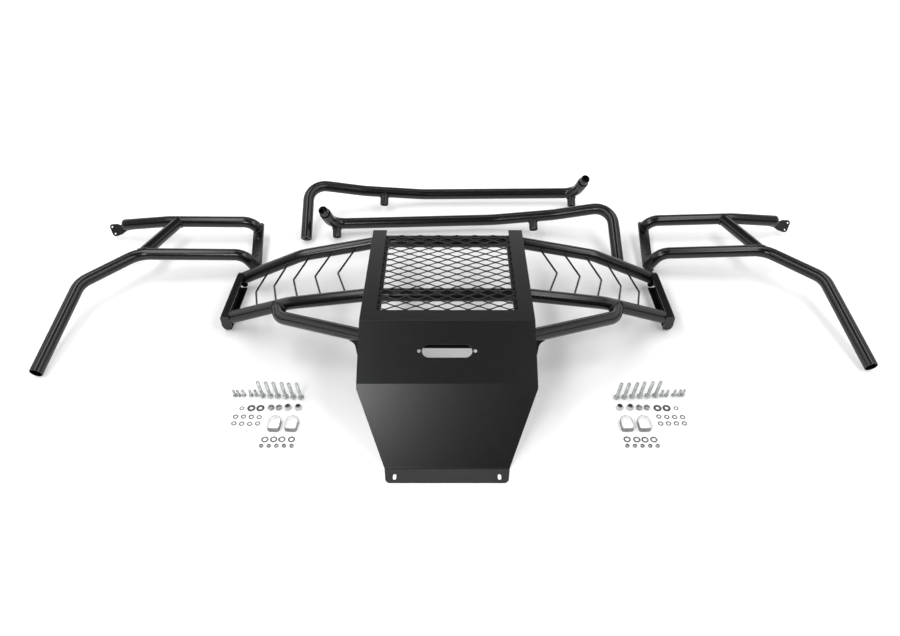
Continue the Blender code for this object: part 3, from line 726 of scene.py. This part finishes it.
def grille(at, body):
    """Expanded metal: zigzag strands, leaning all one way, that touch where the diamonds meet."""
    away = (PANEL_TOP - PANEL_FOLD).normalized()
    normal = Vector((1, 0, 0)).cross(away)
    width, height = DIAMOND
    wide, thick = STRAND
    origin = PANEL_FOLD - normal * (SHEET + GAP + 0.0016)
    first = (MESH_NEAR + MESH_FAR - MESH_ROWS * height) / 2
    shape = bmesh.new()
    lean = Vector((0, math.cos(STRAND_TILT), math.sin(STRAND_TILT)))
    stand = Vector((0, -math.sin(STRAND_TILT), math.cos(STRAND_TILT)))
    section = [
        (-1, -0.6), (-0.72, -1.0), (0.72, -1.0), (1, -0.6),
        (1, 0.6), (0.72, 1.0), (-0.72, 1.0), (-1, 0.6)]
    step = width / 2
    count = int(2 * MESH_HALF / step) + 2
    for strand in range(2 * MESH_ROWS + 1):
        middle = first + strand * height / 2
        swing = height / 4 - wide * 0.47
        knots = []
        for k in range(-count // 2, count // 2 + 1):
            sign = 1 if (k + strand) % 2 else -1
            x = k * step
            y = middle + sign * swing
            knots.append((x - BOND / 2, y))
            knots.append((x + BOND / 2, y))
        knots = rounded([(x, y, 0.0) for x, y in knots], 0.004, step=math.radians(12))
        knots = [p for p in knots if abs(p.x) <= MESH_HALF - 0.001]
        rings = []
        for p in knots:
            centre = origin + Vector((p.x, 0, 0)) + away * p.y
            sheet = random.uniform(-0.00008, 0.00008)
            points = []
            for a, b in section:
                local = lean * (a * wide / 2) + stand * (b * thick / 2 + sheet)
                points.append(shape.verts.new(centre + away * local.y + normal * local.z))
            rings.append(points)
        skin(shape, rings)
    piece("grille_mesh_look", shape, at, body, MESH_BLACK, ("grille_mesh",), 50)

    for side, word in WORDS.items():
        loop = rectangle(BORDER, CROSSBAR - 0.004, MESH_HALF, MESH_FAR - 0.004)
        loop = [flipped(p, side) for p in loop]
        under = origin - normal * BORDER_DROP
        name = f"grille_border_{word}"
        strip = flat_mesh(name, [loop], BORDER_THICK, under, (1, 0, 0), away, FINE_EDGE)
        dress(strip, at, body, MESH_BLACK, ())


def end_frame(side):
    x, y = WEB_AT
    inwards = Vector((-side * math.cos(WEB_TOE), -math.sin(WEB_TOE), 0.0))
    along = Vector((-side * math.sin(WEB_TOE), math.cos(WEB_TOE), 0.0))
    return Vector((side * x, y, 0.0)), inwards, along


def trimmed(path, side):
    """The path, ended at the outer face of the end plate on that side."""
    origin, inwards, _ = end_frame(side)
    kept = []
    for a, b in zip(path, path[1:]):
        before = (a - origin).dot(inwards)
        after = (b - origin).dot(inwards)
        if before >= 0:
            kept.append(a)
        if (before >= 0) != (after >= 0):
            kept.append(a.lerp(b, before / (before - after)))
    if (path[-1] - origin).dot(inwards) >= 0:
        kept.append(path[-1])
    return kept


def bowed(half_path):
    left = [flipped(p, -1) for p in reversed(half_path)]
    return left + [Vector(p) for p in half_path]


def slice_off(shape, place, keep):
    """Cuts a shape flat at the place, keeps the side named by the direction, and closes it."""
    whole = shape.verts[:] + shape.edges[:] + shape.faces[:]
    bmesh.ops.bisect_plane(shape, geom=whole, plane_co=place, plane_no=-keep, clear_outer=True)
    rim = [e for e in shape.edges if e.is_boundary]
    bmesh.ops.holes_fill(shape, edges=rim, sides=0)


def bow(name, path, at, body, node):
    """A bowed tube, its ends sliced flat along the end channels."""
    shape = bmesh.new()
    tube_into(shape, path)
    for side in (-1, 1):
        origin, inwards, _ = end_frame(side)
        slice_off(shape, origin + inwards * SHEET / 2, inwards)
    return piece(name, shape, at, body, BLACK, (node,))


def dome(centre, out, radius, rise, flat):
    """A tube's end pressed shut: a rounded shoulder that falls to a flat of the given radius."""
    shape = bmesh.new()
    _, side, other = frames([centre, centre + out])[0]
    rings = [ring(shape, centre - out * 0.004, side, other, radius, TUBE_SIDES)]
    for k in range(9):
        a = math.pi / 2 * k / 8
        size = flat + (radius - flat) * math.cos(a)
        rings.append(ring(shape, centre + out * rise * math.sin(a), side, other, size, TUBE_SIDES))
    skin(shape, rings)
    return shape


def end_plate(side, at, body):
    """The end channel, open inwards, with the wing's bolt holes and a cap at each end."""
    depth, height = CHANNEL
    t = SHEET
    low = [(0, 0), (depth, 0), (depth, t), (t, t)]
    corners = low + [(x, height - y) for x, y in reversed(low)]
    radii = (0.004, 0.0, 0.0, 0.0015, 0.0015, 0.0, 0.0, 0.004)
    profile = rounded([(x, y, 0.0) for x, y in corners], radii, closed=True)
    origin, inwards, along = end_frame(side)
    name = f"end_plate_{WORDS[side]}"
    obj = flat_mesh(name + "_look", [profile], CHANNEL_LENGTH, origin, inwards, (0, 0, 1), 0.0)
    tools = []
    for offset in (-0.5, 0.5):
        place = origin + along * offset * MOUNT_PITCH + Vector((0.0, 0.0, height / 2))
        tools.append(block(circle(0.0, 0.0, MOUNT_HOLE), 0.02, place, along, (0, 0, 1)))
    drill(obj, tools)
    soften(obj, FINE_EDGE)
    dress(obj, at, body, BLACK, (name,))
    cap = rectangle(0, CAP_RISE, depth + CAP_REACH, height)
    cap = rounded(cap, CAP_RADII, closed=True)
    for end, word, thick in CAPS:
        place = origin + along * end * (CHANNEL_LENGTH / 2 + thick / 2 - 0.0003)
        lid = flat_mesh(f"{name}_cap_{word}", [cap], thick, place, inwards, (0, 0, 1), CAP_EDGE)
        dress(lid, at, body, BLACK)


def gusset(side, at, body):
    """The small curved plate that joins the panel to the lower tube."""
    down = (PANEL_KNEE - PANEL_FOLD).normalized()
    normal = Vector((1, 0, 0)).cross(down)
    origin = PANEL_FOLD + normal * (SHEET + GAP + SHEET / 2)
    x, high, low = GUSSET_ROOT
    curve = [flipped(p, side) for p in rounded(GUSSET_CURVE, GUSSET_BEND)]
    loop = [(side * x, high)] + curve + [(side * x, low)]
    name = f"gusset_{WORDS[side]}"
    obj = flat_mesh(name + "_look", [loop], SHEET, origin, (1, 0, 0), down, SHEET_EDGE)
    dress(obj, at, body, BLACK, (name,))


def rod_path(side, i, upper, middle):
    x = CHEVRON_FIRST + CHEVRON_PITCH * i - CHEVRON_CLOSING * i * i
    top = axis_at(upper, x)
    foot = axis_at(middle, x + 0.002)
    reach = x + KNEE_FIRST - KNEE_CLOSING * i
    knee = axis_at(upper, reach) * 0.48 + axis_at(middle, reach) * 0.52
    return [flipped(p, side) for p in (top, knee, foot)]


def front_guard():
    body = "front_guard"
    at = GUARD_AT
    panel(at, body)
    grille(at, body)
    upper_path = rounded(bowed(UPPER_TUBE), BOW_RADIUS)
    middle_path = rounded(bowed(MIDDLE_TUBE), BOW_RADIUS)
    bow("upper_tube_look", upper_path, at, body, "upper_tube")
    bow("middle_tube_look", middle_path, at, body, "middle_tube")
    upper = [Vector(p) for p in UPPER_TUBE]
    middle = [Vector(p) for p in MIDDLE_TUBE]
    welds = bmesh.new()
    for side, word in WORDS.items():
        origin, inwards, _ = end_frame(side)
        end_plate(side, at, body)
        for path in (upper_path, middle_path):
            ends = trimmed(path, side)
            tip, before = (ends[-1], ends[-2]) if side == 1 else (ends[0], ends[1])
            out = (tip - before).normalized()
            web = origin + inwards * SHEET
            bead_into(welds, on_plane(tip, out, web, inwards), PLATE_BEAD)

        start = axis_at(middle_path, side * LOWER_START)
        path = rounded([start] + [flipped(p, side) for p in LOWER_TUBE], LOWER_RADIUS)
        tube(f"lower_tube_{word}_look", path, at, body, (f"lower_tube_{word}",))
        run = direction_at(middle_path, side * LOWER_START)
        bead_into(welds, saddle(start, path[1] - path[0], TUBE_RADIUS, run), LOWER_BEAD)
        gusset(side, at, body)
        for i in range(CHEVRONS):
            corners = rod_path(side, i, upper, middle)
            name = f"chevron_{word}_{i + 1}"
            shape = bmesh.new()
            tube_into(shape, rounded(corners, 0.008), radius=ROD_RADIUS, sides=16)
            piece(name + "_look", shape, at, body, BLACK, (name,))
            knee = corners[1]
            for tip, line in ((corners[0], upper), (corners[2], middle)):
                run = flipped(direction_at(line, abs(tip.x)), side)
                bead_into(welds, saddle(tip, knee - tip, ROD_RADIUS, run, 40), ROD_BEAD)
    piece("guard_welds", welds, at, body, WELD_BLACK)


# Wings


def wing(side):
    word = WORDS[side]
    body = f"wing_{word}"
    at = WING_AT[side]
    welds = bmesh.new()
    along = Vector(
        (side * math.sin(WING_PLATE_YAW), math.cos(WING_PLATE_YAW), math.tan(WING_PLATE_RISE)))
    along.normalize()
    lean = Vector((-side * math.sin(WING_TILT), 0.0, math.cos(WING_TILT)))
    across = (lean - along * lean.dot(along)).normalized()
    normal = along.cross(across)
    if normal.z < 0:
        normal = -normal
    centre = flipped(WING_PLATE_AT, side)
    length, width = WING_PLATE
    corners = rectangle(-length / 2, -width / 2, length / 2, width / 2)
    outline = rounded(corners, 0.010, closed=True)
    loops = [outline] + [circle(end * MOUNT_PITCH / 2, 0.0, MOUNT_HOLE) for end in (-1, 1)]
    name = f"wing_{word}_mount_plate"
    plate = flat_mesh(name + "_look", loops, PLATE, centre, along, across, PLATE_EDGE)
    dress(plate, at, body, BLACK, (name,))

    rise = Vector((side * math.cos(WING_TILT), 0.0, math.sin(WING_TILT)))

    def landing(place, corner):
        spot = centre + along * place
        corner_point = Vector((side * corner[0], corner[1], WING_TUBE_HEIGHT))
        down = (spot - corner_point).normalized()
        return spot + (down - rise).normalized() * LANDING_REACH

    def from_plate(path):
        """The path, started inside the plate."""
        while (path[1] - centre).dot(normal) < PLATE / 2:
            path = path[1:]
        low = (path[0] - centre).dot(normal)
        high = (path[1] - centre).dot(normal)
        start = path[0]
        if low < PLATE * 0.3:
            start = path[0].lerp(path[1], (PLATE * 0.3 - low) / (high - low))
        return [start] + path[1:]

    face = centre + normal * PLATE / 2
    far_corner = (side * WING_FAR_TUBE[0][0], WING_FAR_TUBE[0][1], WING_TUBE_HEIGHT)
    far_bend = (side * WING_FAR_TUBE[1][0], WING_FAR_TUBE[1][1], WING_TUBE_HEIGHT)
    far_points = [landing(WING_LANDING, WING_FAR_TUBE[0]), far_corner, far_bend]
    far_points.append(flipped(WING_FAR_END, side))
    far_path = rounded(far_points, (WING_BEND, FAR_BEND))
    near_corner = (side * WING_NEAR_CORNER[0], WING_NEAR_CORNER[1], WING_TUBE_HEIGHT)
    near_points = [landing(-WING_LANDING, WING_NEAR_CORNER), near_corner]
    near_points += [flipped(p, side) for p in (WING_KNEE, WING_ELBOW, WING_LEG_END)]
    near_path = rounded(near_points, (WING_BEND, KNEE_BEND, KNEE_BEND))
    for key, path, end in (("upper", far_path, "shut"), ("leg", near_path, "open")):
        shape = bmesh.new()
        tube_into(shape, path, ends=("shut", end), depth=0.05)
        slice_off(shape, face - normal * 0.001, normal)
        node = f"wing_{word}_{key}_tube"
        piece(node + "_look", shape, at, body, BLACK, (node,))
        start, beyond = from_plate(path)[:2]
        run = (beyond - start).normalized()
        bead_into(welds, on_plane(start, run, face, normal), PLATE_BEAD)

    far_x, near_x = WING_BRACE
    far_spot = axis_at(far_path, side * far_x)
    near_spot = axis_at(near_path, side * near_x)
    node = f"wing_{word}_brace"
    tube(node + "_look", [far_spot, near_spot], at, body, (node,))
    brace = near_spot - far_spot
    far_run = direction_at(far_path, side * far_x)
    near_run = direction_at(near_path, side * near_x)
    for spot, out, run in ((far_spot, brace, far_run), (near_spot, -brace, near_run)):
        bead_into(welds, saddle(spot, out, TUBE_RADIUS, run), TUBE_BEAD)
    wing_tab(side, at, body)
    out = (far_path[-1] - far_path[-2]).normalized()
    closing = dome(far_path[-1], out, TUBE_RADIUS, *CLOSING)
    piece(f"wing_{word}_end_closing", closing, at, body, BLACK)
    piece(f"wing_{word}_welds", welds, at, body, WELD_BLACK)


def wing_tab(side, at, body):
    """The rounded three-cornered bracket under the upper tube's end, with two bolt holes."""
    corners = [(x, y, 0.0) for x, y, _ in TAB_OUTLINE]
    radii = [radius for _, _, radius in TAB_OUTLINE]
    outline = rounded(corners, radii, closed=True, step=math.radians(10))
    loops = [outline] + [circle(x, y, TAB_HOLE) for x, y in TAB_HOLES_AT]
    down = Vector((0.0, -math.cos(TAB_TILT), -math.sin(TAB_TILT)))
    normal = Vector((0.0, -math.sin(TAB_TILT), math.cos(TAB_TILT)))
    under = TUBE_RADIUS + GAP + TAB_THICK / 2
    start = flipped(WING_FAR_END, side) - normal * under + down * TAB_DROP
    name = f"wing_{WORDS[side]}_tab"
    obj = flat_mesh(name + "_look", loops, TAB_THICK, start, (side, 0, 0), down, PLATE_EDGE)
    dress(obj, at, body, BLACK, (name,))


# Side rails


def rail(word, side):
    body = f"rail_{word}"
    at = RAIL_AT[word]
    welds = bmesh.new()
    points = [flipped(p, side) for p in RAIL_PATH]
    path = rounded(points, RAIL_RADII)
    node = f"rail_{word}_tube"
    tube(node + "_look", path, at, body, (node,), ends=("open", "open"), depth=0.03)
    fall = Vector((0.0, -math.cos(STUB_FALL), -math.sin(STUB_FALL)))
    for i, x in enumerate(RAIL_STUBS):
        start = axis_at([Vector(p) for p in RAIL_PATH[1:]], x)
        start = flipped(start, side)
        node = f"rail_{word}_stub_{i + 1}"
        tube(
            node + "_look", [start, start + fall * STUB_LENGTH], at, body, (node,),
            radius=STUB_RADIUS, wall=0.003, ends=("shut", "open"), depth=0.02)
        run = direction_at(path, side * x)
        bead_into(welds, saddle(start, fall, STUB_RADIUS, run), PLATE_BEAD)
    hook = (points[-1] - points[-2]).normalized()
    held, free = SPIGOT
    node = f"rail_{word}_spigot"
    ends = [points[-1] - hook * held, points[-1] + hook * free]
    tube(
        node + "_look", ends, at, body, (node,), radius=SPIGOT_RADIUS, ends=("open", "open"),
        depth=0.02)
    leg = (points[0] - points[1]).normalized()
    node = f"rail_{word}_foot_insert"
    ends = [points[0] - leg * PLUG, points[0] - leg * 0.0008]
    tube(
        node + "_look", ends, at, body, (node,), radius=SPIGOT_RADIUS + 0.0011, wall=0.0086,
        ends=("open", "open"), depth=0.005)
    piece(f"rail_{word}_welds", welds, at, body, WELD_BLACK)


# Fasteners


def six_sided(turn, apothem, limit):
    """A hexagon's radius in that direction, cut by a circle for its chamfer."""
    part = (turn + math.pi / 6) % (math.pi / 3) - math.pi / 6
    return min(apothem / math.cos(part), limit)


def turned(shape, profile, place, turn=0.0, sides=48, hexed=(), lean=(0.0, 0.0)):
    """A turned solid from (height, radius) pairs, with hexagons of the half widths in hexed."""
    rings = []
    for i, (z, r) in enumerate(profile):
        row = []
        for k in range(sides):
            a = math.tau * k / sides
            radius = six_sided(a, hexed[i], r) if i < len(hexed) and hexed[i] else r
            x = radius * math.cos(a + turn) + lean[0] * z
            y = radius * math.sin(a + turn) + lean[1] * z
            row.append(shape.verts.new(Vector(place) + Vector((x, y, z))))
        rings.append(row)
    for a, b in zip(rings, rings[1:]):
        bridge(shape, a, b)
    return rings


def bolt(shape, place, size, turn, lean):
    """A hexagon bolt standing on its head, with its thread cut to the tip."""
    shank, head, height, length = size
    wide = head * HEX
    hexed = [wide, wide, wide, wide]
    profile = [
        (0.0, wide * 0.93), (0.0003, wide * 0.97), (0.0011, head * 1.02),
        (height - 0.0004, head * 1.02), (height, wide * 0.96), (height + 0.0001, shank + 0.0004),
        (height + 0.0006, shank)]
    pitch = 0.00125 if shank > 0.0035 else 0.001
    plain = height + length * (0.42 if length > 0.03 else 0.12)
    profile += [(plain, shank), (plain + pitch * 0.4, shank * 0.90)]
    z = plain + pitch * 0.5
    while z < height + length - pitch * 1.6:
        profile += [(z + pitch * 0.35, shank * 0.99), (z + pitch * 0.55, shank * 0.99)]
        profile.append((z + pitch, shank * 0.85))
        z += pitch
    top = height + length
    profile += [(top - 0.0009, shank * 0.97), (top, shank * 0.72)]
    rings = turned(shape, profile, place, turn, 24, hexed, lean)
    shape.faces.new(rings[0])
    shape.faces.new(list(reversed(rings[-1])))


def washer(shape, place, size, turn=0.0, split=False):
    """A flat washer, or a spring washer with its cut and its slight helix."""
    outer, inner, thick = size
    sides = 40
    edge = min(0.0003, thick * 0.2)
    rows = [
        (0.0, inner + edge), (0.0, outer - edge), (edge, outer), (thick - edge, outer),
        (thick, outer - edge), (thick, inner + edge), (thick - edge, inner), (edge, inner)]
    gap = RING_GAP if split else 0.0
    rings = []
    for k in range(sides + (1 if split else 0)):
        part = k / sides
        a = turn + gap / 2 + (math.tau - gap) * part
        lift = RING_LIFT * part if split else 0.0
        ring_points = []
        for z, r in rows:
            x = r * math.cos(a)
            y = r * math.sin(a)
            ring_points.append(shape.verts.new(Vector(place) + Vector((x, y, z + lift))))
        rings.append(ring_points)
    for a, b in zip(rings, rings[1:]):
        bridge(shape, a, b)
    if split:
        shape.faces.new(rings[0])
        shape.faces.new(list(reversed(rings[-1])))
    else:
        bridge(shape, rings[-1], rings[0])


def nut(shape, place, size, turn):
    """A hexagon nut with chamfered corners and a threaded bore."""
    across, bore, height = size
    wide = across / 2
    reach = wide / HEX
    profile = [
        (0.0, bore * 1.12), (0.0, wide * 0.95), (0.0007, reach * 1.02),
        (height - 0.0009, reach * 1.02), (height - 0.0001, wide * 0.93), (height, wide * 0.90),
        (height, bore * 1.14), (height - 0.0006, bore)]
    hexed = [0, wide, wide, wide, wide, 0, 0, 0]
    z = height - 0.0006
    while z > 0.0016:
        profile += [(z - 0.0004, bore * 0.9), (z - 0.0008, bore)]
        z -= 0.0009
    profile.append((0.0004, bore))
    rings = turned(shape, profile, place, turn, 36, hexed)
    bridge(shape, rings[-1], rings[0])


def spacer(name, place, at, body):
    """A stepped bush, standing on its wide end."""
    base, top, bore, height = SPACER
    profile = [
        (0.0, bore + 0.0004), (0.0, base - 0.0006), (0.0005, base), (0.0042, base),
        (0.0054, base - 0.0008),
        (height - 0.0030, top + 0.0014), (height - 0.0006, top + 0.0002), (height, top - 0.0004),
        (height, bore + 0.0005), (height - 0.0006, bore), (0.0006, bore)]
    shape = bmesh.new()
    rings = turned(shape, profile, place, sides=48)
    bridge(shape, rings[-1], rings[0])
    obj = piece(name + "_look", shape, at, body, SPACER_GREY, (name,), 40)
    obj.data.materials.append(WASHER_ZINC)
    for face in obj.data.polygons:
        inside = math.hypot(face.center.x - place[0], face.center.y - place[1]) < bore + 0.0004
        if face.center.z > height - 0.0008 or inside:
            face.material_index = 1


def band(name, place, side, at, body):
    """A tube band of bent strip: straight sides, a round top and a flat bolting side."""
    width, depth, wall, height = BAND

    def outline(inset):
        radius = width / 2 - inset
        centre = depth / 2 - width / 2
        arc = [
            (radius * math.cos(a), centre + radius * math.sin(a), 0.0)
            for a in (math.pi * k / 28 for k in range(29))]
        foot = -depth / 2 + inset
        corner = max(0.0052 - inset, 0.0015)
        low = [(-radius, foot, 0.0), (radius, foot, 0.0)]
        points = arc + low
        radii = [0.0] * len(arc) + [corner, corner]
        return rounded(points, radii, closed=True, step=math.radians(12))

    turn = side * BAND_TURN
    along = (math.cos(turn), math.sin(turn), 0.0)
    across = (-math.sin(turn), math.cos(turn), 0.0)
    origin = Vector(place) + Vector((0.0, 0.0, height / 2))
    loops = [outline(0.0), outline(wall)]
    obj = flat_mesh(name + "_look", loops, height, origin, along, across, FINE_EDGE)
    dress(obj, at, body, ZINC, (name,))
    # Painted light and shade: the strip's inner walls get a near-white lit tone and its outer walls
    # a dark shaded tone. The top and bottom edges keep the plain zinc.
    obj.data.materials.append(BAND_INSIDE_PAINTED_LIGHT)
    obj.data.materials.append(BAND_OUTSIDE_PAINTED_SHADE)
    for face in obj.data.polygons:
        if abs(face.normal.z) < 0.5:
            face.material_index = 2 if face.normal.dot(face.center) > 0 else 1


def hardware(side):
    word = WORDS[side]
    body = f"hardware_{word}"
    at = HARDWARE_AT[side]
    for i in range(BOLTS):
        shape = bmesh.new()
        lean = (side * random.uniform(0.07, 0.12), random.uniform(-0.02, 0.02))
        place = (side * BOLT_PITCH * i, BOLT_ROW + BOLT_RISE * i, 0.0)
        bolt(shape, place, BOLT, random.uniform(0, 1.0), lean)
        node = f"bolt_{word}_{i + 1}"
        piece(node + "_look", shape, at, body, ZINC, (node,), 34)
    for i, x in enumerate(SPACERS_AT):
        spacer(f"spacer_{word}_{i + 1}", (side * x, MIDDLE_ROW, 0.0), at, body)
    for i, x in enumerate(BANDS_AT):
        band(f"band_{word}_{i + 1}", (side * x, BAND_ROW, 0.0), side, at, body)

    short = bmesh.new()
    for x in SHORT_BOLTS_AT:
        place = (side * x, SHORT_BOLT_ROW + random.uniform(-0.001, 0.001), 0.0)
        turn = random.uniform(0, 1.0)
        bolt(short, place, SHORT_BOLT, turn, (side * random.uniform(0.05, 0.12), 0.0))
    piece(f"short_bolts_{word}", short, at, body, ZINC, (), 34)

    nuts = bmesh.new()
    for x in LARGE_NUTS_AT:
        nut(nuts, (side * x, MIDDLE_ROW, 0.0), LARGE_NUT, random.uniform(0, 1.0))
    for x in SMALL_NUTS_AT:
        nut(nuts, (side * x, NUT_ROW, 0.0), SMALL_NUT, random.uniform(0, 1.0))
    piece(f"nuts_{word}", nuts, at, body, NUT_ZINC, (), 34)

    dark = bmesh.new()
    for x in DARK_WASHERS_AT:
        washer(dark, (side * x, MIDDLE_ROW, 0.0), DARK_WASHER)
    piece(f"dark_washers_{word}", dark, at, body, DARK_ZINC, (), 34)

    rings = bmesh.new()
    washer(rings, (side * THIN_WASHER_AT, MIDDLE_ROW, 0.0), THIN_WASHER)
    for small_x, large_x in zip(SMALL_RINGS_AT, LARGE_RINGS_AT):
        for y in SMALL_RING_ROWS:
            place = (side * small_x, y + random.uniform(-0.001, 0.001), 0.0)
            washer(rings, place, SMALL_RING, random.uniform(0, 6), True)
        place = (side * large_x, LARGE_RING_ROW + random.uniform(-0.001, 0.001), 0.0)
        washer(rings, place, LARGE_RING, random.uniform(0, 6), True)
    piece(f"washers_{word}", rings, at, body, WASHER_ZINC, (), 34)


# Studio


def floor():
    shape = bmesh.new()
    bmesh.ops.create_grid(shape, x_segments=2, y_segments=2, size=14.0)
    obj = meshed("studio_floor", shape)
    made, nodes, links, shader = new_material("pale_floor_with_painted_glow")
    coords = nodes.new("ShaderNodeTexCoord")
    slow = noise(nodes, links, coords, 3.0)
    tones = [(0.3, (0.88, 0.88, 0.88)), (0.7, (0.91, 0.91, 0.91))]
    links.new(ramp(nodes, links, slow.outputs["Fac"], tones), shader.inputs["Base Color"])
    shader.inputs["Roughness"].default_value = 0.7
    shader.inputs["Specular IOR Level"].default_value = 0.2
    # Painted glow: the floor gives off light though it is no lamp, none near the kit and more with
    # distance from it.
    shader.inputs["Emission Color"].default_value = (1.0, 1.0, 1.0, 1.0)
    squeeze = nodes.new("ShaderNodeMapping")
    squeeze.inputs["Scale"].default_value = GLOW_SQUEEZE
    links.new(coords.outputs["Object"], squeeze.inputs["Vector"])
    away = nodes.new("ShaderNodeVectorMath")
    away.operation = "LENGTH"
    links.new(squeeze.outputs["Vector"], away.inputs[0])
    near = spread(nodes, links, away.outputs["Value"], *NEAR_GLOW)
    far = spread(nodes, links, away.outputs["Value"], *FAR_GLOW)
    glow = nodes.new("ShaderNodeMath")
    links.new(near, glow.inputs[0])
    links.new(far, glow.inputs[1])
    links.new(glow.outputs["Value"], shader.inputs["Emission Strength"])
    obj.data.materials.append(made)


def softbox(name, place, aim, size, power):
    light = bpy.data.lights.new(name, "AREA")
    light.shape = "RECTANGLE"
    light.size, light.size_y = size
    light.energy = power
    obj = linked(name, light)
    obj.location = place
    obj.rotation_euler = (Vector(aim) - Vector(place)).to_track_quat("-Z", "Y").to_euler()


def surroundings():
    """White to the camera, dim as a light."""
    world = bpy.data.worlds.new("studio")
    bpy.context.scene.world = world
    world.use_nodes = True
    nodes = world.node_tree.nodes
    links = world.node_tree.links
    backdrop = nodes["Background"]
    backdrop.inputs["Color"].default_value = (1.0, 1.0, 1.0, 1.0)
    path = nodes.new("ShaderNodeLightPath")
    strength = spread(nodes, links, path.outputs["Is Camera Ray"], 0.0, 1.0, DIM_WORLD, 1.0)
    links.new(strength, backdrop.inputs["Strength"])


def studio():
    floor()
    surroundings()
    for light in SOFTBOXES:
        softbox(*light)
    camera = bpy.data.cameras.new("camera")
    camera.lens = CAMERA_LENS
    camera.sensor_width = 36.0
    camera.clip_start = 0.05
    obj = linked("camera", camera)
    obj.location = CAMERA_AT
    obj.rotation_euler = (CAMERA_TILT, 0.0, 0.0)
    bpy.context.scene.camera = obj
    bpy.context.scene.view_settings.view_transform = "Standard"


studio()
front_guard()
for wing_side in (-1, 1):
    wing(wing_side)
rail("far", 1)
rail("near", -1)
for set_side in (-1, 1):
    hardware(set_side)
